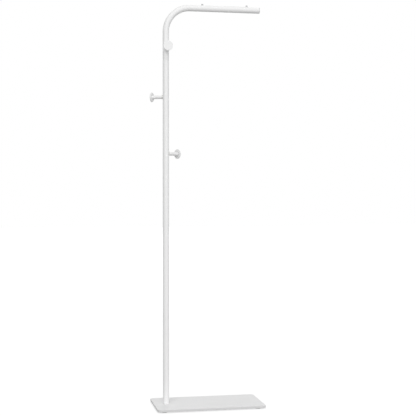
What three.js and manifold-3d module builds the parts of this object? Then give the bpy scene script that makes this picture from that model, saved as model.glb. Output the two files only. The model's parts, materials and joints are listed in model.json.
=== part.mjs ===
// A clothes rack of white painted steel. A flat plate on four low feet carries one round upright
// near its left end. A bent tube is plugged onto the upright and runs over the plate as the arm that
// hangers go on. Three knobs are screwed into the post, and two pins on the arm keep hangers on it.
// Millimetres, +Z up, +X along the arm to its free end, the front at -Y. The origin is on the floor,
// in the middle of the rack's outline.
import * as THREE from "three";
import { mergeVertices, toCreasedNormals } from "three/addons/utils/BufferGeometryUtils.js";
import Module from "manifold-3d";

// Base plate, cut from steel plate with its edges softened
const plateLength = 435;
const plateWidth = 228;
const plateThickness = 10;
const plateCornerRadius = 12;
const plateEdgeRadius = 1.2;

// Round pads under the plate's corners, each held by a countersunk screw
const footHeight = 4.5;
const footDiameter = 26;
const footEdgeRadius = 1.5;
const footInsetFromEnd = 29;
const footInsetFromSide = 25;
const footScrewDiameter = 4;
const footScrewHeadDiameter = 8;
const footScrewHeadHeight = 2.2;
const footScrewRecess = 0.7;
const footScrewGrip = 6;
const footScrewSlotLength = 4.4;
const footScrewSlotWidth = 1;
const footScrewSlotDepth = 1.2;

// Post and arm, in one size of round tube
const tubeDiameter = 25;
const tubeWall = 1.5;
const rackHeight = 1610;
const uprightInset = 49.5;
const bendRadius = 97;
const armReach = 384;

// Plug in the upright's foot, with its bolt, washer and locating pin
const basePlugLength = 40;
const baseBoltDiameter = 8;
const baseBoltLength = 28;
const baseBoltHeadDiameter = 13;
const baseBoltHeadHeight = 5;
const baseBoltSocket = 5;
const baseBoltSocketDepth = 2.8;
const baseWasherDiameter = 15;
const baseWasherThickness = 1.6;
const baseBoltHoleClearance = 0.5;
const counterboreDepth = 5.2;
const basePinDiameter = 3;
const basePinInPlate = 3.5;
const basePinInPlug = 8.5;

// Steel plug that joins the bent tube to the upright, just under the top knob
const seamBelowTopKnob = 17;
const spigotInUpright = 60;
const spigotAboveTopKnob = 38;

// Knobs, at three heights and a third of a turn apart
const topKnobBelowBend = 63.5;
const leftKnobBelowTopKnob = 196;
const rightKnobBelowLeftKnob = 226;
const knobReach = 62;
const knobDiscDiameter = 38;
const knobDiscThickness = 4.5;
const knobDiscEdgeRadius = 1;
const knobStemDiameter = 15;
const saddleLip = 0.65;
const saddleRise = 3;
const studDiameter = 6;
const studInStem = 12;
const studHoleSpare = 1;
const studPastAxis = 0.2;

// Threaded rivet nuts, which take the two lower knobs' studs in the tube's wall
const rivetNutLength = 15;
const rivetNutFlangeDiameter = 11;
const rivetNutFlangeThickness = 0.8;
const rivetNutBodyDiameter = 8.6;
const rivetNutBulgeDiameter = 11;
const rivetNutBulgeLength = 1.6;

// Pins on top of the arm, pushed through its wall
const pinDiameter = 8;
const pinHeight = 6;
const pinEdgeRadius = 1.6;
const pinShankDiameter = 5;
const pinBarbDiameter = 6.6;
const pinBarbLength = 3;
const pinPlaceShares = [0.18, 0.8225];

// Cap in the arm's free end
const capThickness = 3;
const capEdgeRadius = 2;
const capPlugDepth = 14;
const capWall = 2;

// Clearances: round a pressed plug, round a thread, and where one piece seats on another
const pressGap = 0.3;
const threadGap = 0.3;
const seatGap = 0.3;
const edgeBreak = 0.5;
const cutOverrun = 2;

// Turns and counts
const quarterTurn = Math.PI / 2;
const knobSpread = (2 * Math.PI) / 3;
const tubeSides = 36;
const bendSteps = 10;
const discSides = 36;
const smallSides = 20;
const socketSides = 6;
const arcSteps = 3;
const cornerSteps = 6;
const creaseAngle = Math.PI / 5;

// Sizes and places that follow from these
const tubeRadius = tubeDiameter / 2;
const boreRadius = tubeRadius - tubeWall;
const plugRadius = boreRadius - pressGap;
const plateTop = footHeight + plateThickness;
const uprightX = uprightInset - plateLength / 2;
const armAxisHeight = rackHeight - tubeRadius;
const bendStart = armAxisHeight - bendRadius;
const topKnobHeight = bendStart - topKnobBelowBend;
const leftKnobHeight = topKnobHeight - leftKnobBelowTopKnob;
const rightKnobHeight = leftKnobHeight - rightKnobBelowLeftKnob;
const seamHeight = topKnobHeight - seamBelowTopKnob;
const armEnd = armReach - capThickness;
const pinPlaces = pinPlaceShares.map((share) => bendRadius + share * (armEnd - bendRadius));
const footX = plateLength / 2 - footInsetFromEnd;
const footY = plateWidth / 2 - footInsetFromSide;
const stemRadius = knobStemDiameter / 2;
const saddleOuter = tubeRadius + saddleRise;
const stemStart = saddleOuter + seatGap;
const stemEnd = knobReach - knobDiscThickness - seatGap;
const studRadius = studDiameter / 2;
const studHoleRadius = studRadius + threadGap;
const studEnd = stemStart + studInStem;
const rivetNutTop = tubeRadius + seatGap + rivetNutFlangeThickness;
const rivetNutHoleRadius = rivetNutBodyDiameter / 2 + pressGap;
const boltHoleRadius = baseBoltDiameter / 2 + threadGap;
const counterboreTop = footHeight + counterboreDepth;
const boltHeadTop = counterboreTop - baseWasherThickness;
const basePinPlace = (plugRadius + boltHoleRadius) / 2;
const basePinHoleRadius = basePinDiameter / 2 + pressGap;

const wasm = await Module();
wasm.setup();

const paint = new THREE.MeshStandardMaterial({ color: 0xf2f2f2, roughness: 0.5, metalness: 0 });
const zinc = new THREE.MeshStandardMaterial({ color: 0xb4b7ba, roughness: 0.38, metalness: 0.9 });
const capPlastic = new THREE.MeshStandardMaterial({ color: 0xe9e9e8, roughness: 0.45 });
const pinPlastic = new THREE.MeshStandardMaterial({ color: 0xc5c5c7, roughness: 0.5 });
const footPlastic = new THREE.MeshStandardMaterial({ color: 0xd0d0ce, roughness: 0.6 });
const nylon = new THREE.MeshStandardMaterial({ color: 0xeeeeea, roughness: 0.4 });

// A geometry as a solid that can be cut or joined.
function solidOf(geometry) {
  const bare = geometry.clone();
  bare.deleteAttribute("normal");
  bare.deleteAttribute("uv");
  const merged = mergeVertices(bare);
  const vertProperties = new Float32Array(merged.attributes.position.array);
  const triVerts = new Uint32Array(merged.index.array);
  return new wasm.Manifold(new wasm.Mesh({ numProp: 3, vertProperties, triVerts }));
}

// A solid's surface as a geometry, with normals that break at sharp edges.
function geometryOf(solid) {
  const { vertProperties, triVerts } = solid.getMesh();
  const geometry = new THREE.BufferGeometry();
  geometry.setAttribute("position", new THREE.BufferAttribute(vertProperties, 3));
  geometry.setIndex(new THREE.BufferAttribute(triVerts, 1));
  return toCreasedNormals(geometry, creaseAngle);
}

function cut(geometry, cutters) {
  const solid = cutters.reduce((rest, cutter) => rest.subtract(solidOf(cutter)), solidOf(geometry));
  return geometryOf(solid);
}

function join(first, second) {
  return geometryOf(solidOf(first).add(solidOf(second)));
}

// A solid of revolution about Z, from points [radius, height] listed upwards along its outside.
function turned(profile, sides = smallSides) {
  const points = profile.map(([radius, height]) => new THREE.Vector2(radius, height));
  return new THREE.LatheGeometry(points, sides).rotateX(quarterTurn);
}

// The same about X, for what points outwards from the post or lies along the arm.
function turnedAlongX(profile, sides = smallSides) {
  return turned(profile, sides).rotateY(quarterTurn);
}

function rod(radius, from, to) {
  return [[0, from], [radius, from], [radius, to], [0, to]];
}

// A rod with a small chamfer at each end.
function chamferedRod(radius, from, to) {
  return [
    [0, from],
    [radius - edgeBreak, from],
    [radius, from + edgeBreak],
    [radius, to - edgeBreak],
    [radius - edgeBreak, to],
    [0, to],
  ];
}

// Points of an arc in a profile, about a centre and from one angle to another.
function arc(radius, height, bend, from, to) {
  return Array.from({ length: arcSteps + 1 }, (_, step) => {
    const angle = from + ((to - from) * step) / arcSteps;
    return [radius + bend * Math.cos(angle), height + bend * Math.sin(angle)];
  });
}

function tubeSection() {
  const section = new THREE.Shape().absarc(0, 0, tubeRadius, 0, 4 * quarterTurn);
  section.holes.push(new THREE.Path().absarc(0, 0, boreRadius, 0, 4 * quarterTurn));
  return section;
}

// A straight rise, a quarter bend towards +X and a straight run. The sections stand at the two ends
// and evenly round the bend, because the straight stretches need none between.
class BentCentreLine extends THREE.Curve {
  getPointAt(share) {
    const station = Math.round(share * (bendSteps + 2));
    if (station === 0) return new THREE.Vector3(0, 0, seamHeight + seatGap);
    if (station === bendSteps + 2) return new THREE.Vector3(armEnd, 0, armAxisHeight);
    const angle = ((station - 1) / bendSteps) * quarterTurn;
    const x = bendRadius * (1 - Math.cos(angle));
    return new THREE.Vector3(x, 0, bendStart + bendRadius * Math.sin(angle));
  }

  getTangentAt(share) {
    const station = Math.round(share * (bendSteps + 2));
    const inBend = Math.min(Math.max(station - 1, 0), bendSteps);
    const angle = (inBend / bendSteps) * quarterTurn;
    return new THREE.Vector3(Math.sin(angle), 0, Math.cos(angle));
  }
}

function plateOutline() {
  const inX = plateLength / 2 - plateCornerRadius;
  const inY = plateWidth / 2 - plateCornerRadius;
  const outline = new THREE.Shape();
  outline.absarc(inX, inY, plateCornerRadius, 0, quarterTurn);
  outline.absarc(-inX, inY, plateCornerRadius, quarterTurn, 2 * quarterTurn);
  outline.absarc(-inX, -inY, plateCornerRadius, 2 * quarterTurn, 3 * quarterTurn);
  outline.absarc(inX, -inY, plateCornerRadius, 3 * quarterTurn, 4 * quarterTurn);
  return outline;
}

function footPlaces() {
  return [
    { name: "front_left", x: -footX, y: -footY },
    { name: "front_right", x: footX, y: -footY },
    { name: "rear_left", x: -footX, y: footY },
    { name: "rear_right", x: footX, y: footY },
  ];
}

// The plate with its counterbored bolt hole, its pin hole and the feet's tapped holes.
function basePlate() {
  const plate = new THREE.ExtrudeGeometry(plateOutline(), {
    depth: plateThickness - 2 * plateEdgeRadius,
    curveSegments: cornerSteps / 2,
    bevelThickness: plateEdgeRadius,
    bevelSize: plateEdgeRadius,
    bevelOffset: -plateEdgeRadius,
    bevelSegments: arcSteps,
  }).translate(0, 0, footHeight + plateEdgeRadius);
  const below = footHeight - cutOverrun;
  const above = plateTop + cutOverrun;
  const counterboreRadius = baseWasherDiameter / 2 + baseBoltHoleClearance;
  const throughRadius = baseBoltDiameter / 2 + baseBoltHoleClearance;
  const pinHole = rod(basePinHoleRadius, plateTop - basePinInPlate - pressGap, above);
  const screwHoleTop = footHeight + footScrewGrip + threadGap;
  const screwHole = rod(footScrewDiameter / 2 + threadGap, below, screwHoleTop);
  return cut(plate, [
    turned(rod(counterboreRadius, below, counterboreTop)).translate(uprightX, 0, 0),
    turned(rod(throughRadius, below, above)).translate(uprightX, 0, 0),
    turned(pinHole).translate(uprightX, basePinPlace, 0),
    ...footPlaces().map(({ x, y }) => turned(screwHole).translate(x, y, 0)),
  ]);
}

function footPad() {
  const radius = footDiameter / 2;
  const holeRadius = footScrewDiameter / 2 + threadGap;
  const sinkRadius = footScrewHeadDiameter / 2 + threadGap;
  return turned([
    [holeRadius, footScrewRecess + footScrewHeadHeight],
    [sinkRadius, footScrewRecess],
    [sinkRadius, 0],
    ...arc(radius - footEdgeRadius, footEdgeRadius, footEdgeRadius, -quarterTurn, 0),
    [radius, footHeight],
    [holeRadius, footHeight],
    [holeRadius, footScrewRecess + footScrewHeadHeight],
  ]);
}

// A countersunk screw with a cross recess, its head just inside the pad.
function footScrew() {
  const radius = footScrewDiameter / 2;
  const head = footScrewRecess + footScrewHeadHeight;
  const tip = footHeight + footScrewGrip;
  const slotDepth = 2 * footScrewSlotDepth;
  const slot = new THREE.BoxGeometry(footScrewSlotLength, footScrewSlotWidth, slotDepth);
  slot.translate(0, 0, footScrewRecess);
  const screw = turned([
    [0, footScrewRecess],
    [footScrewHeadDiameter / 2, footScrewRecess],
    [radius, head],
    [radius, tip - edgeBreak],
    [radius - edgeBreak, tip],
    [0, tip],
  ]);
  return cut(screw, [slot, slot.clone().rotateZ(quarterTurn)]);
}

// The hole that a knob's stud or rivet nut goes through, along its own direction.
function radialHole(radius, knob) {
  return turnedAlongX(rod(radius, studRadius, tubeRadius + cutOverrun))
    .rotateZ(knob.angle)
    .translate(0, 0, knob.height);
}

function uprightTube(knobs) {
  const tube = new THREE.ExtrudeGeometry(tubeSection(), {
    depth: seamHeight - plateTop,
    curveSegments: tubeSides / 2,
    bevelEnabled: false,
  }).translate(0, 0, plateTop);
  const holes = knobs.filter((knob) => knob.rivetNut);
  return cut(tube, holes.map((knob) => radialHole(rivetNutHoleRadius, knob)));
}

function armTube(topKnob) {
  const tube = new THREE.ExtrudeGeometry(tubeSection(), {
    steps: bendSteps + 2,
    curveSegments: tubeSides / 2,
    extrudePath: new BentCentreLine(),
  });
  const pinHole = rod(pinShankDiameter / 2 + pressGap, armAxisHeight, rackHeight + cutOverrun);
  const pinHoles = pinPlaces.map((along) => turned(pinHole).translate(along, 0, 0));
  return cut(tube, [radialHole(studHoleRadius, topKnob), ...pinHoles]);
}

function basePlug() {
  const top = plateTop + basePlugLength;
  const above = top + cutOverrun;
  const below = plateTop - cutOverrun;
  const plug = turned(chamferedRod(plugRadius, plateTop, top), tubeSides);
  const pinHole = rod(basePinHoleRadius, below, plateTop + basePinInPlug + pressGap);
  return cut(plug, [
    turned(rod(boltHoleRadius, below, above)),
    turned(pinHole).translate(0, basePinPlace, 0),
  ]);
}

function basePin() {
  const bottom = plateTop - basePinInPlate;
  const top = plateTop + basePinInPlug;
  return turned(chamferedRod(basePinDiameter / 2, bottom, top), smallSides / 2)
    .translate(0, basePinPlace, 0);
}

function baseWasher() {
  const hole = baseBoltDiameter / 2 + baseBoltHoleClearance;
  const outer = baseWasherDiameter / 2;
  return turned([
    [hole, boltHeadTop],
    [outer, boltHeadTop],
    [outer, counterboreTop],
    [hole, counterboreTop],
    [hole, boltHeadTop],
  ]);
}

// A low-head cap screw with a hexagon socket, driven from under the plate.
function baseBolt() {
  const radius = baseBoltDiameter / 2;
  const headRadius = baseBoltHeadDiameter / 2;
  const bottom = boltHeadTop - baseBoltHeadHeight;
  const tip = boltHeadTop + baseBoltLength;
  const socketRadius = baseBoltSocket / 2 / Math.cos(Math.PI / socketSides);
  const bolt = turned([
    [0, bottom],
    [headRadius - edgeBreak, bottom],
    [headRadius, bottom + edgeBreak],
    [headRadius, boltHeadTop],
    [radius, boltHeadTop],
    [radius, tip - edgeBreak],
    [radius - edgeBreak, tip],
    [0, tip],
  ]);
  const socket = rod(socketRadius, bottom - cutOverrun, bottom + baseBoltSocketDepth);
  return cut(bolt, [turned(socket, socketSides)]);
}

// The plug between upright and arm, tapped from the front for the top knob's stud.
function armSpigot(topKnob) {
  const bottom = seamHeight - spigotInUpright;
  const plug = turned(chamferedRod(plugRadius, bottom, topKnobHeight + spigotAboveTopKnob), tubeSides);
  const tapped = rod(studHoleRadius, -studPastAxis - studHoleSpare, tubeRadius);
  const hole = turnedAlongX(tapped).rotateZ(topKnob.angle).translate(0, 0, topKnob.height);
  return cut(plug, [hole]);
}

// A cap whose rim covers the tube's end and whose hollow plug fits its bore.
function armEndCap() {
  const cap = turnedAlongX([
    [0, seatGap],
    [plugRadius - capWall, seatGap],
    [plugRadius - capWall, -capPlugDepth],
    [plugRadius, -capPlugDepth],
    [plugRadius, seatGap],
    [tubeRadius, seatGap],
    ...arc(tubeRadius - capEdgeRadius, capThickness - capEdgeRadius, capEdgeRadius, 0, quarterTurn),
    [0, capThickness],
  ], tubeSides);
  return cap.translate(armEnd, 0, armAxisHeight);
}

// A pin whose head is shaped to the round of the arm, with a barbed shank under the wall.
function stopPin(along) {
  const radius = pinDiameter / 2;
  const shankRadius = pinShankDiameter / 2;
  const barbRadius = pinBarbDiameter / 2;
  const barbTop = Math.sqrt(boreRadius ** 2 - barbRadius ** 2) - seatGap;
  const head = turned([
    [0, boreRadius],
    [radius, boreRadius],
    ...arc(radius - pinEdgeRadius, tubeRadius + pinHeight - pinEdgeRadius, pinEdgeRadius, 0, quarterTurn),
    [0, tubeRadius + pinHeight],
  ]);
  const arm = turnedAlongX(rod(tubeRadius + seatGap, -pinDiameter, pinDiameter), tubeSides);
  const shank = turned([
    [0, barbTop - pinBarbLength],
    [barbRadius - pinBarbLength / 3, barbTop - pinBarbLength],
    [barbRadius, barbTop],
    [shankRadius, barbTop],
    [shankRadius, tubeRadius + pinHeight / 2],
    [0, tubeRadius + pinHeight / 2],
  ]);
  return join(cut(head, [arm]), shank).translate(along, 0, armAxisHeight);
}

function knobDisc() {
  const inner = knobDiscDiameter / 2 - knobDiscEdgeRadius;
  const back = knobReach - knobDiscThickness;
  return turnedAlongX([
    [0, back],
    ...arc(inner, back + knobDiscEdgeRadius, knobDiscEdgeRadius, -quarterTurn, 0),
    ...arc(inner, knobReach - knobDiscEdgeRadius, knobDiscEdgeRadius, 0, quarterTurn),
    [0, knobReach],
  ], discSides);
}

// A round bar with a blind tapped hole in the end that meets the saddle.
function knobStem() {
  const holeEnd = studEnd + studHoleSpare;
  return turnedAlongX([
    [0, holeEnd],
    [studHoleRadius, holeEnd],
    [studHoleRadius, stemStart],
    [stemRadius - edgeBreak, stemStart],
    [stemRadius, stemStart + edgeBreak],
    [stemRadius, stemEnd],
    [0, stemEnd],
  ]);
}

function knobStud() {
  return turnedAlongX(chamferedRod(studRadius, -studPastAxis, studEnd));
}

// A washer whose inner face follows the round of the post, recessed for the rivet nut's flange.
function knobSaddle() {
  const outer = stemRadius + saddleLip;
  const recessRadius = rivetNutFlangeDiameter / 2 + seatGap;
  const ring = turnedAlongX([
    [studHoleRadius, boreRadius / 2],
    [outer, boreRadius / 2],
    [outer, saddleOuter],
    [studHoleRadius, saddleOuter],
    [studHoleRadius, boreRadius / 2],
  ]);
  const post = turned(rod(tubeRadius + seatGap, -knobStemDiameter, knobStemDiameter), tubeSides);
  const recess = turnedAlongX(rod(recessRadius, boreRadius / 2, rivetNutTop + seatGap));
  return cut(ring, [post, recess]);
}

// A nut with its flange outside the wall and its crushed bulge inside.
function rivetNut() {
  const bodyRadius = rivetNutBodyDiameter / 2;
  const bulgeRadius = rivetNutBulgeDiameter / 2;
  const bulgeTop = Math.sqrt(boreRadius ** 2 - bulgeRadius ** 2) - seatGap;
  const flangeBottom = tubeRadius + seatGap;
  return turnedAlongX([
    [studHoleRadius, rivetNutTop - rivetNutLength],
    [bodyRadius, rivetNutTop - rivetNutLength],
    [bodyRadius, bulgeTop - rivetNutBulgeLength],
    [bulgeRadius, bulgeTop - rivetNutBulgeLength / 2],
    [bodyRadius, bulgeTop],
    [bodyRadius, flangeBottom],
    [rivetNutFlangeDiameter / 2, flangeBottom],
    [rivetNutFlangeDiameter / 2, rivetNutTop],
    [studHoleRadius, rivetNutTop],
    [studHoleRadius, rivetNutTop - rivetNutLength],
  ]);
}

function place(group, name, geometry, material) {
  const mesh = new THREE.Mesh(geometry, material);
  mesh.name = name;
  group.add(mesh);
  return mesh;
}

const knobs = [
  { name: "top_knob", height: topKnobHeight, angle: -quarterTurn, rivetNut: false },
  { name: "left_knob", height: leftKnobHeight, angle: -quarterTurn - knobSpread, rivetNut: true },
  { name: "right_knob", height: rightKnobHeight, angle: -quarterTurn + knobSpread, rivetNut: true },
];
const topKnob = knobs[0];

// Base: the plate on its feet
const rack = new THREE.Group();
place(rack, "base_plate", basePlate(), paint);
for (const { name, x, y } of footPlaces()) {
  place(rack, `${name}_foot_pad`, footPad(), footPlastic).position.set(x, y, 0);
  place(rack, `${name}_foot_screw`, footScrew(), zinc).position.set(x, y, 0);
}

// Post: the upright bolted to the plate, with all that stands on its axis
const post = new THREE.Group();
post.position.x = uprightX;
rack.add(post);
place(post, "upright_tube", uprightTube(knobs), paint);
place(post, "base_plug", basePlug(), zinc);
place(post, "base_locating_pin", basePin(), zinc);
place(post, "base_washer", baseWasher(), zinc);
place(post, "base_bolt", baseBolt(), zinc);

// Arm: the bent tube on its spigot, with its pins and cap
place(post, "arm_spigot", armSpigot(topKnob), zinc);
place(post, "arm_tube", armTube(topKnob), paint);
place(post, "arm_end_cap", armEndCap(), capPlastic);
place(post, "inner_stop_pin", stopPin(pinPlaces[0]), pinPlastic);
place(post, "outer_stop_pin", stopPin(pinPlaces[1]), pinPlastic);

// Knobs: each turned to its own side of the post
for (const { name, height, angle, rivetNut: hasRivetNut } of knobs) {
  const knob = new THREE.Group();
  knob.position.z = height;
  knob.rotation.z = angle;
  post.add(knob);
  place(knob, `${name}_disc`, knobDisc(), paint);
  place(knob, `${name}_stem`, knobStem(), paint);
  place(knob, `${name}_stud`, knobStud(), zinc);
  place(knob, `${name}_saddle`, knobSaddle(), nylon);
  if (hasRivetNut) place(knob, `${name}_rivet_nut`, rivetNut(), zinc);
}

// The rack's outline is centred on the origin, with the feet on the floor.
const outline = new THREE.Box3().setFromObject(rack, true);
const middle = outline.getCenter(new THREE.Vector3());
rack.position.set(-middle.x, -middle.y, -outline.min.z);

export default rack;
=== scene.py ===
import json
import math

import bpy
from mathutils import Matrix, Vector
import numpy as np


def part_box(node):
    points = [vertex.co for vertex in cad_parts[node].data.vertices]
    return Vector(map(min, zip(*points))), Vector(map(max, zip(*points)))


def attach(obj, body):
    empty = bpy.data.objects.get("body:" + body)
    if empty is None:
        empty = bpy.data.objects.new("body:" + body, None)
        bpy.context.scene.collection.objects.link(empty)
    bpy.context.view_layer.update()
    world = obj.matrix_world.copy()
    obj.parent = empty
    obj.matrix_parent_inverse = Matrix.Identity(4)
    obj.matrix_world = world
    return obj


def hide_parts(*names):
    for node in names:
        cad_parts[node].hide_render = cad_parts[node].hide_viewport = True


# A clothes rack of white powder-coated steel: a plate on four feet, a post, an arm bent over the plate,
# and three knobs screwed to the post. Metres, +Z up, +X along the arm to its free end, the front at -Y.
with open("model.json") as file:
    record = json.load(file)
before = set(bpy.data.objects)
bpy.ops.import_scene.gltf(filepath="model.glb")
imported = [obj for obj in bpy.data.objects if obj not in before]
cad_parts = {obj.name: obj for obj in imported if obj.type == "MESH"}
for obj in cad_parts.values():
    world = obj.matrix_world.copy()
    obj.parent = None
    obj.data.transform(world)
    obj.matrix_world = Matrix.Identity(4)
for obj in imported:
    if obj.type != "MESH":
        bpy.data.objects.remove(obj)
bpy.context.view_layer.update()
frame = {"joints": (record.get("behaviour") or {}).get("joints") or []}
scene = bpy.context.scene

# Camera: a short telephoto four metres from the post, at half the rack's height and a little to the left
# of its front.
camera_place = (-0.7629, -3.9047, 0.8614)
camera_turn = math.radians(11.197)
camera_dip = math.radians(0.921)
focal_length_pixels = 988.19
picture_side_pixels = 416
camera_data = bpy.data.cameras.new("camera")
camera_data.lens = camera_data.sensor_width * focal_length_pixels / picture_side_pixels
camera = bpy.data.objects.new("camera", camera_data)
camera.location = camera_place
camera.rotation_euler = (math.pi / 2 - camera_dip, 0, -camera_turn)
scene.collection.objects.link(camera)
scene.camera = camera

# Base plate: a rectangle cut from 10 mm steel plate, its corners rounded and its edges broken before it
# was powder coated. It is bored from below for the post's bolt and washer, and drilled for a dowel and
# four screws.
plate_corner_radius = 0.012
plate_edge_radius = 0.0012
corner_signs = np.array([[1, 1], [-1, 1], [-1, -1], [1, -1]])
corner_steps = 12
edge_steps = 6
lead_share = 0.15
bolt_hole_radius = 0.0045
counterbore_radius = 0.008
screw_hole_radius = 0.0023
screw_hole_depth = 0.0063
pin_hole_radius = 0.0018
pin_hole_spare = 0.0003
hole_overrun = 0.002
hole_sides = 64
sharp_angle = math.radians(32)
paint_colour = (0.86, 0.86, 0.86)
paint_thin_colour = (0.835, 0.836, 0.838)
paint_refraction = 1.45
paint_film_size = 0.05
paint_peel_size = 0.0016
paint_grain_size = 0.0003
paint_least_roughness = 0.38
paint_film_roughness = 0.05
paint_grain_roughness = 0.03
paint_relief_depth = 0.00004
paint_peel_share = 0.8
# A grey painted over the plate's rounded edge and sides as painted shade, standing in for the shade they lie
# in near the floor.
plate_painted_shade_colour = (0.68, 0.68, 0.682)


def box_of(node):
    """The lowest and the highest corner of a node of the frame, as arrays."""
    low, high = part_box(node)
    return np.array(low), np.array(high)


def unit(vector):
    """A vector divided by its length."""
    return vector / np.linalg.norm(vector)


def rounded(corners):
    """A profile through corners (across, up, fillet). A fillet f in a corner of angle 2h starts f / tan h
    before it and turns about the point f / sin h along its bisector. A short straight lead on each side
    of the arc keeps the flats flat where the surface is shaded smooth."""
    corners = np.array(corners, float)
    rows = []
    for k, (across, up, fillet) in enumerate(corners):
        corner = np.array([across, up])
        if fillet == 0:
            rows.append(corner[None])
            continue
        before = unit(corners[k - 1][:2] - corner)
        after = unit(corners[(k + 1) % len(corners)][:2] - corner)
        half = math.acos(before @ after) / 2
        reach = fillet / math.tan(half)
        centre = corner + unit(before + after) * fillet / math.sin(half)
        start = corner + before * reach - centre
        end = corner + after * reach - centre
        first = math.atan2(start[1], start[0])
        turn = (math.atan2(end[1], end[0]) - first + math.pi) % (2 * math.pi) - math.pi
        angles = first + turn * np.linspace(0, 1, edge_steps + 1)
        arc = centre + fillet * np.stack([np.cos(angles), np.sin(angles)], axis=1)
        lead = reach + lead_share * fillet
        rows += [corner + [before * lead], arc, corner + [after * lead]]
    return np.concatenate(rows)


def turned(profile, sides=hole_sides):
    """A solid of revolution about Z: radius r and height h at angle a give (r cos a, r sin a, h). Radius
    and height may themselves change with the angle, as rows by sides."""
    radius, height = (np.reshape(part, (len(part), -1)) for part in profile)
    angles = 2 * np.pi * np.arange(sides) / sides
    return np.stack(np.broadcast_arrays(radius * np.cos(angles), radius * np.sin(angles), height), axis=-1)


def solid(name, grid, ring=False):
    """A closed mesh over a grid of points, rows by columns. Its columns close round. Its rows close round
    too in a ring, and otherwise a flat face closes the first row and the last."""
    rows, columns = grid.shape[:2]
    index = np.arange(rows * columns).reshape(rows, columns)
    beside = np.roll(index, -1, axis=1)
    above = np.roll(index, -1, axis=0)
    quads = np.stack([index, beside, np.roll(beside, -1, axis=0), above], axis=-1)
    faces = (quads if ring else quads[:-1]).reshape(-1, 4).tolist()
    smooth = [True] * len(faces)
    if not ring:
        faces += [index[0, ::-1].tolist(), index[-1].tolist()]
        smooth += [False, False]
    mesh = bpy.data.meshes.new(name)
    mesh.from_pydata(grid.reshape(-1, 3), [], faces)
    mesh.polygons.foreach_set("use_smooth", smooth)
    mesh.update()
    made = bpy.data.objects.new(name, mesh)
    scene.collection.objects.link(made)
    return made


def rod(radius, low, high, place, sides=hole_sides):
    """Points of a plain upright cylinder at a place, for a hole."""
    return turned(([radius, radius], [low, high]), sides) + [place[0], place[1], 0]


def carve(piece, *holes):
    """Takes closed grids of points out of a piece, and marks the new edges sharp."""
    cutters = [solid("hole", hole) for hole in holes]
    for cutter in cutters:
        modifier = piece.modifiers.new("hole", "BOOLEAN")
        modifier.object = cutter
        modifier.solver = "EXACT"
    carved = piece.evaluated_get(bpy.context.evaluated_depsgraph_get())
    mesh = bpy.data.meshes.new_from_object(carved)
    piece.modifiers.clear()
    piece.data = mesh
    mesh.materials.clear()
    mesh.set_sharp_from_angle(angle=sharp_angle)
    for cutter in cutters:
        bpy.data.objects.remove(cutter)


class Socket:
    """A node's output. Sums, differences and products of it add the Math nodes that work them out."""

    def __init__(self, nodes, output):
        self.nodes = nodes
        self.output = output

    def math(self, operation, *values):
        settings = {"operation": operation}
        return self.nodes.node("ShaderNodeMath", settings, dict(enumerate(values)))

    def __add__(self, other):
        return self.math("ADD", self, other)

    def __sub__(self, other):
        return self.math("SUBTRACT", self, other)

    def __rsub__(self, other):
        return self.math("SUBTRACT", other, self)

    def __mul__(self, other):
        return self.math("MULTIPLY", self, other)

    def larger(self, other):
        return self.math("MAXIMUM", self, other)

    __radd__ = __add__
    __rmul__ = __mul__


class Nodes:
    """The nodes of a material or of the world."""

    def __init__(self, tree):
        self.tree = tree

    def node(self, kind, settings, inputs, output=0):
        """Adds a node of a kind, with its settings and the values or links of its inputs, and gives one
        of its outputs."""
        made = self.tree.nodes.new(kind)
        for setting, value in settings.items():
            setattr(made, setting, value)
        for socket, value in inputs.items():
            self.feed(made.inputs[socket], value)
        return Socket(self, made.outputs[output])

    def feed(self, socket, value):
        if isinstance(value, Socket):
            self.tree.links.new(value.output, socket)
        else:
            socket.default_value = value


class Finish(Nodes):
    """A material with one surface shader, and the patterns that feed it."""

    def __init__(self, name, **constants):
        self.material = bpy.data.materials.new(name)
        self.material.use_nodes = True
        super().__init__(self.material.node_tree)
        self.tree.nodes.clear()
        self.shader = self.tree.nodes.new("ShaderNodeBsdfPrincipled")
        surface = self.tree.nodes.new("ShaderNodeOutputMaterial").inputs["Surface"]
        self.tree.links.new(self.shader.outputs[0], surface)
        for socket, value in constants.items():
            self.shade(socket.replace("_", " "), value)
        self.place = self.node("ShaderNodeTexCoord", {}, {}, "Object")

    def shade(self, socket, value):
        """Sets or links one of the shader's own inputs."""
        self.feed(self.shader.inputs[socket], value)

    def noise(self, size, detail=2, stretch=(1, 1, 1)):
        """Cloudy grey from 0 to 1 whose blotches are about size metres across."""
        scale = tuple(share / size for share in stretch)
        place = self.node("ShaderNodeVectorMath", {"operation": "MULTIPLY"}, {0: self.place, 1: scale})
        return self.node("ShaderNodeTexNoise", {}, {"Vector": place, "Scale": 1, "Detail": detail})

    def blend(self, share, first, second):
        """A colour between two colours or patterns, by a share. A Mix node takes its colours at inputs 6
        and 7, and gives the blend at output 2."""
        first, second = (end if isinstance(end, Socket) else (*end, 1) for end in (first, second))
        return self.node("ShaderNodeMix", {"data_type": "RGBA"}, {0: share, 6: first, 7: second}, 2)

    def relief(self, height, depth):
        """Bumps of a height from 0 to 1, as deep as depth metres."""
        bump = self.node("ShaderNodeBump", {}, {"Strength": 1, "Distance": depth, "Height": height})
        self.shade("Normal", bump)


def fit(piece, finish, slot, body, *nodes):
    """Gives a piece its finish and its body, and hides the frame's nodes that it stands in for."""
    piece.data.materials.append(finish.material)
    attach(piece, body)
    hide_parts(*nodes)


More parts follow.
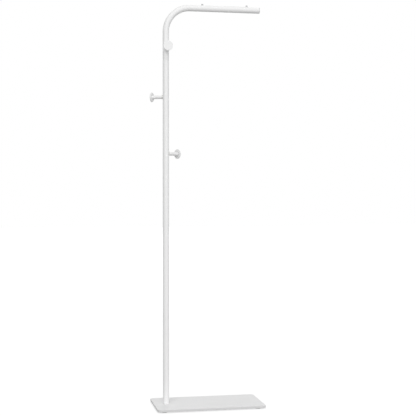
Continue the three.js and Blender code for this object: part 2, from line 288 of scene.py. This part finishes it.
def powder_coat(name, plate_top=None):
    """Satin white powder coat: a film that flowed out to a faint orange peel, a little thinner in places.
    Where the height of a plate's top is given, a painted shade greys the coat over its rounded edge and
    below."""
    finish = Finish(name, IOR=paint_refraction)
    film = finish.noise(paint_film_size)
    peel = finish.noise(paint_peel_size)
    grain = finish.noise(paint_grain_size, detail=1)
    colour = finish.blend(film, paint_colour, paint_thin_colour)
    # Painted shade: below the top of the plate's rounded edge the colour blends to grey, standing in for the
    # shade on the plate's sides.
    if plate_top is not None:
        height = finish.node("ShaderNodeSeparateXYZ", {}, {0: finish.place}, "Z")
        rounding = {"Value": height, "From Min": plate_top - plate_edge_radius, "From Max": plate_top}
        painted_shade_share = 1 - finish.node("ShaderNodeMapRange", {}, rounding)
        colour = finish.blend(painted_shade_share, colour, plate_painted_shade_colour)
    finish.shade("Base Color", colour)
    unevenness = paint_film_roughness * film + paint_grain_roughness * grain
    finish.shade("Roughness", paint_least_roughness + unevenness)
    finish.relief(paint_peel_share * peel + (1 - paint_peel_share) * grain, paint_relief_depth)
    return finish


def plate_points(low, high):
    """Points of the plate. Round its outline they are a corner's centre plus its radius and the profile's
    outset along the outward direction. Up its edge they follow the rounded profile."""
    edge = plate_edge_radius
    profile = rounded([
        (-2 * edge, low[2], 0),
        (0, low[2], edge),
        (0, high[2], edge),
        (-2 * edge, high[2], 0),
    ])
    quarter = np.linspace(0, np.pi / 2, corner_steps + 1)
    quarter = np.concatenate([quarter[:1], quarter, quarter[-1:]])
    slide = np.zeros(len(quarter))
    slide[[0, -1]] = -lead_share * plate_corner_radius, lead_share * plate_corner_radius
    quarter_turns = np.arange(len(corner_signs)) * np.pi / 2
    angles = (quarter_turns[:, None] + quarter).ravel()
    outward = np.stack([np.cos(angles), np.sin(angles)], axis=1)
    sideways = np.stack([-np.sin(angles), np.cos(angles)], axis=1)
    along = sideways * np.tile(slide, len(corner_signs))[:, None]
    signs = np.repeat(corner_signs, len(quarter), axis=0)
    centres = (low + high)[:2] / 2 + signs * ((high - low)[:2] / 2 - plate_corner_radius)
    reach = plate_corner_radius + profile[:, 0, None, None]
    level = centres + along + reach * outward
    height = np.broadcast_to(profile[:, 1, None, None], level.shape[:2] + (1,))
    return np.concatenate([level, height], axis=-1)


plate_low, plate_high = box_of("base_plate")
bolt_low, bolt_high = box_of("base_bolt")
pin_low, pin_high = box_of("base_locating_pin")
washer_low, washer_high = box_of("base_washer")
post_axis = (bolt_low + bolt_high) / 2
pin_axis = (pin_low + pin_high) / 2
foot_corners = ("front_left", "front_right", "rear_left", "rear_right")
foot_boxes = {corner: box_of(f"{corner}_foot_pad") for corner in foot_corners}
under = plate_low[2] - hole_overrun
over = plate_high[2] + hole_overrun
screw_hole_top = plate_low[2] + screw_hole_depth
plate_holes = [
    rod(counterbore_radius, under, washer_high[2], post_axis),
    rod(bolt_hole_radius, under, over, post_axis),
    rod(pin_hole_radius, pin_low[2] - pin_hole_spare, over, pin_axis),
]
plate_holes += [rod(screw_hole_radius, under, screw_hole_top, sum(ends) / 2) for ends in foot_boxes.values()]
plate = solid("coated_plate", plate_points(plate_low, plate_high))
carve(plate, *plate_holes)
fit(plate, powder_coat("plate_powder_coat", plate_high[2]), "white_paint", "stand", "base_plate")

# Feet: four round pads moulded in pale grey plastic, each held under the plate by a countersunk
# cross-recessed screw whose head stays clear of the floor.
foot_colour = (0.62, 0.62, 0.61)
foot_worn_colour = (0.54, 0.54, 0.53)
foot_edge_radius = 0.0015
foot_rim_radius = 0.0003
pad_sides = 96
sink_radius = 0.0043
sink_depth = 0.0029
sink_flat = 0.0007
screw_radius = 0.002
screw_head_radius = 0.004
screw_head_height = 0.0022
screw_tip_radius = 0.0012
cross_length = 0.0044
cross_width = 0.0011
cross_depth = 0.0013
cross_taper_shares = (1, 0.5)
plastic_refraction = 1.48
plastic_cloud_size = 0.012
plastic_grain_roughness = 0.1
zinc_colour = (0.66, 0.67, 0.68)
zinc_dull_colour = (0.58, 0.6, 0.62)
zinc_bloom_size = 0.002
zinc_mark_size = 0.0002
zinc_mark_stretch_shares = (1, 1, 0.2)
zinc_least_roughness = 0.26
zinc_bloom_roughness = 0.14
zinc_mark_roughness = 0.06
zinc_mark_depth = 0.000006


def moulded(name, colour, other_colour, least_roughness, grain_size, grain_depth):
    """Moulded plastic: a fine spark-eroded grain from the mould, and a faint change of tone."""
    finish = Finish(name, IOR=plastic_refraction)
    cloud = finish.noise(plastic_cloud_size)
    grain = finish.noise(grain_size, detail=3)
    finish.shade("Base Color", finish.blend(cloud, colour, other_colour))
    finish.shade("Roughness", least_roughness + plastic_grain_roughness * grain)
    finish.relief(grain, grain_depth)
    return finish


def zinc_plate():
    """Zinc-plated steel: bright metal with a faint crystalline bloom and fine turning marks."""
    finish = Finish("zinc_plate", Metallic=1)
    bloom = finish.noise(zinc_bloom_size, detail=3)
    marks = finish.noise(zinc_mark_size, detail=1, stretch=zinc_mark_stretch_shares)
    finish.shade("Base Color", finish.blend(bloom, zinc_colour, zinc_dull_colour))
    unevenness = zinc_bloom_roughness * bloom + zinc_mark_roughness * marks
    finish.shade("Roughness", zinc_least_roughness + unevenness)
    finish.relief(marks, zinc_mark_depth)
    return finish


def slot_points(length, width, ends, place):
    """Points of an upright bar that tapers to half its size at the top, for one arm of a cross recess."""
    outline = corner_signs * [length / 2, width / 2]
    shares = np.array(cross_taper_shares)[:, None, None]
    level = outline * shares + place[:2]
    height = np.broadcast_to(ends[:, None, None], level.shape[:2] + (1,))
    return np.concatenate([level, height], axis=-1)


foot_plastic = moulded(
    "foot_plastic",
    foot_colour,
    foot_worn_colour,
    least_roughness=0.55,
    grain_size=0.0004,
    grain_depth=0.00002,
)
zinc = zinc_plate()
for corner, (low, high) in foot_boxes.items():
    middle = (low + high) / 2
    place = [middle[0], middle[1], 0]
    foot_radius = (high - low)[0] / 2
    pad_profile = rounded([
        (sink_radius, low[2], 0),
        (foot_radius, low[2], foot_edge_radius),
        (foot_radius, high[2], foot_rim_radius),
        (screw_hole_radius, high[2], 0),
        (screw_hole_radius, low[2] + sink_depth, 0),
        (sink_radius, low[2] + sink_flat, 0),
    ])
    pad = solid(f"foot_pad_{corner}", turned(pad_profile.T, pad_sides) + place, ring=True)
    pad.data.set_sharp_from_angle(angle=sharp_angle)
    fit(pad, foot_plastic, "foot_plastic", "stand", f"{corner}_foot_pad")

    screw_low, screw_high = box_of(f"{corner}_foot_screw")
    head_top = screw_low[2] + screw_head_height
    screw_profile = rounded([
        (screw_head_radius, screw_low[2], 0),
        (screw_radius, head_top, 0),
        (screw_radius, screw_high[2] - screw_radius + screw_tip_radius, 0),
        (screw_tip_radius, screw_high[2], 0),
    ])
    screw = solid(f"foot_screw_{corner}", turned(screw_profile.T) + place)
    slot_ends = screw_low[2] + np.array([-cross_depth, cross_depth])
    first_arm = slot_points(cross_length, cross_width, slot_ends, place)
    second_arm = slot_points(cross_width, cross_length, slot_ends, place)
    carve(screw, first_arm, second_arm)
    fit(screw, zinc, "zinc_steel", "stand", f"{corner}_foot_screw")

# Post fixing: a steel plug pressed into the tube's foot, drawn onto the plate by a low-head cap screw and
# washer from below, with a dowel pin beside it so that the post can't turn.
bolt_radius = 0.004
bolt_pitch = 0.00125
bolt_head_height = 0.005
bolt_head_edge = 0.0005
socket_radius = 0.0029
socket_depth = 0.0028
thread_depth_share = 0.61
thread_flat_share = 0.15
thread_rows = 10
thread_sides = 48
socket_sides = 6
tapped_radius = 0.0043
small_chamfer = 0.0005


def threaded(crest, pitch, low, high):
    """A right-hand screw thread: at height h and angle a the radius is the crest less the thread's depth
    times a wave of h / pitch - a / 2 pi, flattened at crest and root, which stays at the root at both ends
    and rises over one turn."""
    height = np.linspace(low, high, round((high - low) / pitch * thread_rows) + 1)[:, None]
    angles = 2 * np.pi * np.arange(thread_sides) / thread_sides
    phase = (height / pitch - angles / (2 * np.pi)) % 1
    wave = np.clip((1 + 2 * thread_flat_share) * np.abs(2 * phase - 1) - thread_flat_share, 0, 1)
    end = 1 - np.clip(np.minimum(height - low, high - height) / pitch, 0, 1)
    radius = crest - thread_depth_share * pitch * np.maximum(wave, end)
    return radius, np.broadcast_to(height, radius.shape)


head_top = bolt_low[2] + bolt_head_height
bolt_head_radius = (bolt_high - bolt_low)[0] / 2
head_profile = rounded([
    (bolt_radius, bolt_low[2], 0),
    (bolt_head_radius, bolt_low[2], bolt_head_edge),
    (bolt_head_radius, head_top, bolt_head_edge / 2),
    (bolt_radius, head_top, 0),
])
thread_radius, thread_height = threaded(bolt_radius, bolt_pitch, head_top, bolt_high[2])
head_radius = np.broadcast_to(head_profile[:, :1], (len(head_profile), thread_radius.shape[1]))
head_height = np.broadcast_to(head_profile[:, 1:], head_radius.shape)
bolt_profile = np.concatenate([head_radius, thread_radius]), np.concatenate([head_height, thread_height])
post_foot = [post_axis[0], post_axis[1], 0]
bolt = solid("post_bolt", turned(bolt_profile, thread_sides) + post_foot)
socket_top = bolt_low[2] + socket_depth
carve(bolt, rod(socket_radius, bolt_low[2] - hole_overrun, socket_top, post_axis, socket_sides))
fit(bolt, zinc, "zinc_steel", "stand", "base_bolt")

washer_radius = (washer_high - washer_low)[0] / 2
washer_profile = rounded([
    (bolt_hole_radius, washer_low[2], 0),
    (washer_radius, washer_low[2], small_chamfer / 2),
    (washer_radius, washer_high[2], small_chamfer / 2),
    (bolt_hole_radius, washer_high[2], 0),
])
washer = solid("post_washer", turned(washer_profile.T) + post_foot, ring=True)
washer.data.set_sharp_from_angle(angle=sharp_angle)
fit(washer, zinc, "zinc_steel", "stand", "base_washer")

plug_low, plug_high = box_of("base_plug")
plug_radius = (plug_high - plug_low)[0] / 2
plug_profile = rounded([
    (tapped_radius, plug_low[2], 0),
    (plug_radius, plug_low[2], small_chamfer),
    (plug_radius, plug_high[2], small_chamfer),
    (tapped_radius, plug_high[2], 0),
])
plug = solid("post_plug", turned(plug_profile.T) + post_foot, ring=True)
carve(plug, rod(pin_hole_radius, plug_low[2] - hole_overrun, pin_high[2] + pin_hole_spare, pin_axis))
fit(plug, zinc, "zinc_steel", "stand", "base_plug")

dowel_radius = (pin_high - pin_low)[0] / 2
dowel_profile = rounded([
    (dowel_radius / 2, pin_low[2], 0),
    (dowel_radius, pin_low[2], small_chamfer),
    (dowel_radius, pin_high[2], small_chamfer),
    (dowel_radius / 2, pin_high[2], 0),
])
dowel = solid("post_dowel", turned(dowel_profile.T) + [pin_axis[0], pin_axis[1], 0])
fit(dowel, zinc, "zinc_steel", "stand", "base_locating_pin")

# Upright: 25 mm round steel tube with a 1.5 mm wall, its ends cut square and deburred, standing on the
# plate. Two holes in its wall take the lower knobs' rivet nuts.
tube_wall = 0.0015
tube_end_edge = 0.0004
tube_sides = 128
nut_hole_radius = 0.0046
stud_hole_radius = 0.0033
hole_start = 0.005
saddle_low, saddle_high = box_of("top_knob_saddle")
saddle_radius = (saddle_high - saddle_low)[0] / 2
joints = {joint["name"]: joint for joint in frame["joints"]}
knob_sides = ("top", "left", "right")
knob_places = {side: np.array(joints[f"{side}_knob_turn"]["pos_m"]) for side in knob_sides}
knob_axes = {side: unit(np.array(joints[f"{side}_knob_turn"]["axis"])) for side in knob_sides}


def aimed(points, place, axis):
    """Points turned so that their Z lies along a level axis and their Y upwards, and moved to a place."""
    up = np.array([0, 0, 1])
    return place + points @ np.array([np.cross(up, axis), up, axis])


def radial_hole(radius, side):
    """Points of the hole that a knob's screw or nut goes through, in one wall of the tube."""
    ends = [hole_start, tube_radius + hole_overrun]
    return aimed(turned(([radius, radius], ends)), knob_places[side], knob_axes[side])


def wall_rows(radius, heights):
    """Plain rows of a profile, where the tube has a hole or a bend."""
    heights = np.array(heights)
    return np.stack([np.full(len(heights), radius), heights, np.zeros(len(heights))], axis=1)


paint = powder_coat("powder_coat")
tube_low, tube_high = box_of("upright_tube")
tube_radius = (tube_high - tube_low)[0] / 2
bore_radius = tube_radius - tube_wall
nut_heights = sorted(knob_places[side][2] for side in ("left", "right"))
nut_rows = [height + step for height in nut_heights for step in (-saddle_radius, saddle_radius)]
upright_profile = rounded(np.concatenate([
    [(bore_radius, tube_low[2], tube_end_edge), (tube_radius, tube_low[2], tube_end_edge)],
    wall_rows(tube_radius, nut_rows),
    [(tube_radius, tube_high[2], tube_end_edge), (bore_radius, tube_high[2], tube_end_edge)],
    wall_rows(bore_radius, nut_rows[::-1]),
]))
upright = solid("coated_upright", turned(upright_profile.T, tube_sides) + post_foot, ring=True)
carve(upright, radial_hole(nut_hole_radius, "left"), radial_hole(nut_hole_radius, "right"))
fit(upright, paint, "white_paint", "stand", "upright_tube")

# Spigot: a turned steel plug pressed into the top of the upright, with the arm slipped over its other
# end. The top knob's stud screws into its side through the arm's wall.
spigot_low, spigot_high = box_of("arm_spigot")
spigot_edge = 0.001
tapped_start = -0.0012
spigot_profile = rounded([
    (plug_radius / 2, spigot_low[2], 0),
    (plug_radius, spigot_low[2], spigot_edge),
    (plug_radius, spigot_high[2], spigot_edge),
    (plug_radius / 2, spigot_high[2], 0),
])
spigot = solid("arm_plug", turned(spigot_profile.T, tube_sides) + post_foot)
tapped_hole = turned(([stud_hole_radius, stud_hole_radius], [tapped_start, tube_radius]))
carve(spigot, aimed(tapped_hole, knob_places["top"], knob_axes["top"]))
fit(spigot, zinc, "zinc_steel", "stand", "arm_spigot")

# Arm: the same tube, bent once on a mandrel so that it stays round, rising from the spigot and running
# level over the plate. Two holes on top take the stop pins.
bend_radius = 0.097
bend_steps = 72
pin_shank_hole = 0.0028
pin_head_radius = 0.004
arm_low, arm_high = box_of("arm_tube")
arm_axis_height = arm_high[2] - tube_radius
bend_start = arm_axis_height - bend_radius
bend_length = bend_radius * math.pi / 2
arm_length = bend_start + bend_length + arm_high[0] - post_axis[0] - bend_radius


def bent(points):
    """A straight upright tube bent over. Its length up to the bend's start stays height. Past that, a
    point x off the axis turns at R - x about the bend's centre, by the length over R, and then runs on."""
    x, y, length = np.moveaxis(points, -1, 0)
    turn = np.clip((length - bend_start) / bend_radius, 0, math.pi / 2)
    run = np.maximum(length - bend_start - bend_length, 0)
    rise = np.minimum(length, bend_start)
    reach = bend_radius - x
    across = post_axis[0] + bend_radius - reach * np.cos(turn) + run
    return np.stack([across, post_axis[1] + y, rise + reach * np.sin(turn)], axis=-1)


pin_boxes = {which: box_of(f"{which}_stop_pin") for which in ("inner", "outer")}
pin_places = {which: sum(ends) / 2 for which, ends in pin_boxes.items()}
pin_runs = [pin_places[which][0] - post_axis[0] - bend_radius for which in ("inner", "outer")]
pin_lengths = [bend_start + bend_length + run for run in pin_runs]
stud_rows = [knob_places["top"][2] + step for step in (-saddle_radius, saddle_radius)]
bend_rows = np.linspace(bend_start, bend_start + bend_length, bend_steps + 1)
pin_rows = [length + step for length in pin_lengths for step in (-pin_head_radius, pin_head_radius)]
outer_rows = np.concatenate([stud_rows, bend_rows, pin_rows])
arm_profile = rounded(np.concatenate([
    [(bore_radius, arm_low[2], tube_end_edge), (tube_radius, arm_low[2], tube_end_edge)],
    wall_rows(tube_radius, outer_rows),
    [(tube_radius, arm_length, tube_end_edge), (bore_radius, arm_length, tube_end_edge)],
    wall_rows(bore_radius, outer_rows[::-1]),
]))
arm = solid("coated_arm", bent(turned(arm_profile.T, tube_sides)), ring=True)
pin_holes = [
    rod(pin_shank_hole, arm_axis_height, arm_high[2] + hole_overrun, place) for place in pin_places.values()
]
carve(arm, radial_hole(stud_hole_radius, "top"), *pin_holes)
fit(arm, paint, "white_paint", "stand", "arm_tube")

# End cap: moulded in white plastic, with a hollow plug pushed into the tube and a rim as wide as the
# tube, its face a little domed.
cap_colour = (0.8, 0.8, 0.8)
cap_other_colour = (0.775, 0.776, 0.778)
cap_wall = 0.002
cap_edge_radius = 0.0016
cap_dome = 0.0006
cap_face_share = 0.3
seat_gap = 0.0003
cap_low, cap_high = box_of("arm_end_cap")
cap_seat = arm_high[0] + seat_gap
cap_profile = rounded([
    (plug_radius - cap_wall, cap_seat, 0),
    (plug_radius - cap_wall, cap_low[0], 0),
    (plug_radius, cap_low[0], small_chamfer),
    (plug_radius, cap_seat, 0),
    (tube_radius, cap_seat, small_chamfer / 2),
    (tube_radius, cap_high[0] - cap_dome, cap_edge_radius),
    (cap_face_share * tube_radius, cap_high[0], 0),
])
cap_plastic = moulded(
    "cap_plastic",
    cap_colour,
    cap_other_colour,
    least_roughness=0.37,
    grain_size=0.0003,
    grain_depth=0.000008,
)
arm_direction = np.array([1, 0, 0])
cap = solid("arm_cap", aimed(turned(cap_profile.T, tube_sides), [0, 0, arm_axis_height], arm_direction))
cap.data.set_sharp_from_angle(angle=sharp_angle)
fit(cap, cap_plastic, "cap_plastic", "stand", "arm_end_cap")

# Stop pins: two round pegs moulded in grey plastic, their feet shaped to the arm, pushed through its wall
# until the barb on each shank snaps out inside.
pin_colour = (0.56, 0.56, 0.57)
pin_other_colour = (0.51, 0.51, 0.52)
pin_edge_radius = 0.0016
pin_shank_radius = 0.0025
pin_barb_radius = 0.0033
pin_barb_tip_radius = 0.0023
pin_barb_length = 0.003
seat_radius = tube_radius + seat_gap
seat_band = 0.0002


def seated(profile, across):
    """Drops the rows within a narrow band of the seat's height onto the round of the tube: at a distance
    d off the tube's middle, by R - sqrt(R^2 - d^2)."""
    radius, height = profile.T[..., None]
    angles = 2 * np.pi * np.arange(hole_sides) / hole_sides
    distance = radius * across(angles)
    drop = seat_radius - np.sqrt(seat_radius ** 2 - distance ** 2)
    on_seat = np.abs(height - seat_radius) < seat_band
    return radius, height - drop * on_seat


pin_plastic = moulded(
    "pin_plastic",
    pin_colour,
    pin_other_colour,
    least_roughness=0.45,
    grain_size=0.0003,
    grain_depth=0.00001,
)
barb_top = math.sqrt(bore_radius ** 2 - pin_barb_radius ** 2) - seat_gap
for which, (low, high) in pin_boxes.items():
    place = [pin_places[which][0], post_axis[1], arm_axis_height]
    pin_top = high[2] - arm_axis_height
    peg_profile = rounded([
        (pin_barb_tip_radius, barb_top - pin_barb_length, 0),
        (pin_barb_radius, barb_top, 0),
        (pin_shank_radius, barb_top, 0),
        (pin_shank_radius, seat_radius, 0),
        (pin_head_radius, seat_radius, 0),
        (pin_head_radius, pin_top, pin_edge_radius),
        (pin_head_radius / 2, pin_top, 0),
    ])
    peg = solid(f"stop_peg_{which}", turned(seated(peg_profile, np.sin)) + place)
    peg.data.set_sharp_from_angle(angle=sharp_angle)
    fit(peg, pin_plastic, "pin_plastic", "stand", f"{which}_stop_pin")

# Knobs: each a round disc welded to a bar, powder coated, and screwed by an M6 stud against a nylon
# washer that is hollowed to the round of the post. The lower two screw into rivet nuts in its wall.
nylon_colour = (0.82, 0.82, 0.8)
nylon_other_colour = (0.79, 0.79, 0.765)
nut_length = 0.015
nut_flange_radius = 0.0055
nut_flange_height = 0.0008
nut_body_radius = 0.0043
nut_bulge_radius = 0.0055
nut_bulge_length = 0.0016
washer_edge = 0.0004
washer_recess_radius = 0.0058
stem_edge = 0.0005
weld_radius = 0.0012
disc_edge_radius = 0.001
stud_radius = 0.003
stud_pitch = 0.001
stud_in_stem = 0.012
stud_spare = 0.001
stud_start = -0.0002
saddle_top = post_axis[1] - saddle_low[1]
stem_start = saddle_top + seat_gap
stud_end = stem_start + stud_in_stem
nut_top = seat_radius + nut_flange_height
bulge_top = math.sqrt(bore_radius ** 2 - nut_bulge_radius ** 2) - seat_gap
stem_low, stem_high = box_of("top_knob_stem")
stem_radius = (stem_high - stem_low)[0] / 2
disc_low, disc_high = box_of("top_knob_disc")
disc_radius = (disc_high - disc_low)[0] / 2
disc_front = post_axis[1] - disc_low[1]
disc_back = post_axis[1] - disc_high[1]

nylon = moulded(
    "nylon",
    nylon_colour,
    nylon_other_colour,
    least_roughness=0.35,
    grain_size=0.0005,
    grain_depth=0.000006,
)
saddle_profile = rounded([
    (stud_hole_radius, nut_top + seat_gap, 0),
    (washer_recess_radius, nut_top + seat_gap, 0),
    (washer_recess_radius, seat_radius, 0),
    (saddle_radius, seat_radius, 0),
    (saddle_radius, saddle_top, washer_edge),
    (stud_hole_radius, saddle_top, 0),
])
nut_profile = rounded([
    (stud_hole_radius, nut_top - nut_length, 0),
    (nut_body_radius, nut_top - nut_length, small_chamfer),
    (nut_body_radius, bulge_top - nut_bulge_length, 0),
    (nut_bulge_radius, bulge_top - nut_bulge_length / 2, small_chamfer),
    (nut_body_radius, bulge_top, 0),
    (nut_body_radius, seat_radius, 0),
    (nut_flange_radius, seat_radius, 0),
    (nut_flange_radius, nut_top, small_chamfer / 2),
    (stud_hole_radius, nut_top, 0),
])
stem_profile = rounded([
    (stud_hole_radius, stud_end + stud_spare, 0),
    (stud_hole_radius, stem_start, 0),
    (stem_radius, stem_start, stem_edge),
    (stem_radius, disc_back, weld_radius),
    (stem_radius + 2 * weld_radius, disc_back, 0),
])
disc_profile = rounded([
    (disc_radius / 2, disc_back, 0),
    (disc_radius, disc_back, disc_edge_radius),
    (disc_radius, disc_front, disc_edge_radius),
    (disc_radius / 2, disc_front, 0),
])
for side in knob_sides:
    place, axis = knob_places[side], knob_axes[side]
    saddle = solid(f"{side}_washer", aimed(turned(seated(saddle_profile, np.cos)), place, axis), ring=True)
    saddle.data.set_sharp_from_angle(angle=sharp_angle)
    fit(saddle, nylon, "nylon", f"{side}_saddle", f"{side}_knob_saddle")
    if side != "top":
        nut = solid(f"{side}_nut", aimed(turned(nut_profile.T), place, axis), ring=True)
        nut.data.set_sharp_from_angle(angle=sharp_angle)
        fit(nut, zinc, "zinc_steel", "stand", f"{side}_knob_rivet_nut")
    stud_profile = threaded(stud_radius, stud_pitch, stud_start, stud_end)
    stud = solid(f"{side}_stud", aimed(turned(stud_profile, thread_sides), place, axis))
    fit(stud, zinc, "zinc_steel", f"{side}_knob", f"{side}_knob_stud")
    stem = solid(f"{side}_stem", aimed(turned(stem_profile.T, tube_sides), place, axis))
    stem.data.set_sharp_from_angle(angle=sharp_angle)
    fit(stem, paint, "white_paint", f"{side}_knob", f"{side}_knob_stem")
    disc = solid(f"{side}_disc", aimed(turned(disc_profile.T, tube_sides), place, axis))
    fit(disc, paint, "white_paint", f"{side}_knob", f"{side}_knob_disc")

# Floor and light: a white studio sweep, lit by four soft boxes in front and one overhead, over an even
# light from all round. A sixth lights the rack's back and shows in no reflection. Lamps are placed by
# azimuth, from the front to the right, and elevation. Seen straight on, floor and background are white.
floor_size = 40
floor_tone = 0.4
near_glow = (0.69, 0.69, 0.69)
far_glow = (0.82, 0.82, 0.82)
near_distance = 1
far_distance = 7
ambient_strength = 0.52
lamp_middle = (-0.1, 0, 0.9)
lamp_distance = 16
lamp_size = 2.4
lamps = {
    "front": {"azimuth": -14, "elevation": 13, "power": 480},
    "upper_front": {"azimuth": 0, "elevation": 35, "power": 250},
    "key": {"azimuth": -30, "elevation": 50, "power": 365},
    "right": {"azimuth": 30, "elevation": 3, "power": 400},
    "overhead": {"azimuth": 0, "elevation": 75, "power": 130},
    "rear": {"azimuth": 165, "elevation": 8, "power": 325},
}


def seen_directly(nodes):
    """1 where a camera, mirror or glass ray meets the surface, and 0 for the light that falls on things."""
    rays = ("Is Camera Ray", "Is Glossy Ray", "Is Transmission Ray")
    camera_ray, mirror_ray, glass_ray = (nodes.node("ShaderNodeLightPath", {}, {}, ray) for ray in rays)
    return camera_ray.larger(mirror_ray).larger(glass_ray)


world = bpy.data.worlds.new("studio")
world.use_nodes = True
sky = Nodes(world.node_tree)
background = world.node_tree.nodes["Background"]
sky_range = {"Value": seen_directly(sky), "To Min": ambient_strength, "To Max": 1}
sky.feed(background.inputs["Strength"], sky.node("ShaderNodeMapRange", {}, sky_range))
sky.feed(background.inputs["Color"], (1, 1, 1, 1))
scene.world = world

floor_mesh = bpy.data.meshes.new("floor")
floor_corners = np.array([[-1, -1, 0], [1, -1, 0], [1, 1, 0], [-1, 1, 0]]) * floor_size / 2
floor_mesh.from_pydata(floor_corners, [], [[0, 1, 2, 3]])
floor = bpy.data.objects.new("floor", floor_mesh)
scene.collection.objects.link(floor)
floor_finish = Finish("floor", Roughness=1, Base_Color=(floor_tone, floor_tone, floor_tone, 1))
away = floor_finish.node("ShaderNodeVectorMath", {"operation": "LENGTH"}, {0: floor_finish.place}, "Value")
glow_range = {"Value": away, "From Min": near_distance, "From Max": far_distance}
far_share = floor_finish.node("ShaderNodeMapRange", {}, glow_range)
floor_finish.shade("Emission Color", floor_finish.blend(far_share, near_glow, far_glow))
floor_finish.shade("Emission Strength", seen_directly(floor_finish))
# The glow lights nothing, so no shadow ray is spent on it.
floor_finish.material.cycles.emission_sampling = "NONE"
floor_mesh.materials.append(floor_finish.material)

for name, lamp in lamps.items():
    azimuth, elevation = math.radians(lamp["azimuth"]), math.radians(lamp["elevation"])
    level = math.cos(elevation)
    backward = Vector((math.sin(azimuth) * level, -math.cos(azimuth) * level, math.sin(elevation)))
    data = bpy.data.lights.new(name, "AREA")
    data.shape = "SQUARE"
    data.size = lamp_size
    data.energy = lamp["power"]
    light = bpy.data.objects.new(name, data)
    light.location = Vector(lamp_middle) + lamp_distance * backward
    light.rotation_euler = backward.to_track_quat("Z", "Y").to_euler()
    light.visible_glossy = name != "rear"
    scene.collection.objects.link(light)

scene.view_settings.view_transform = "Standard"
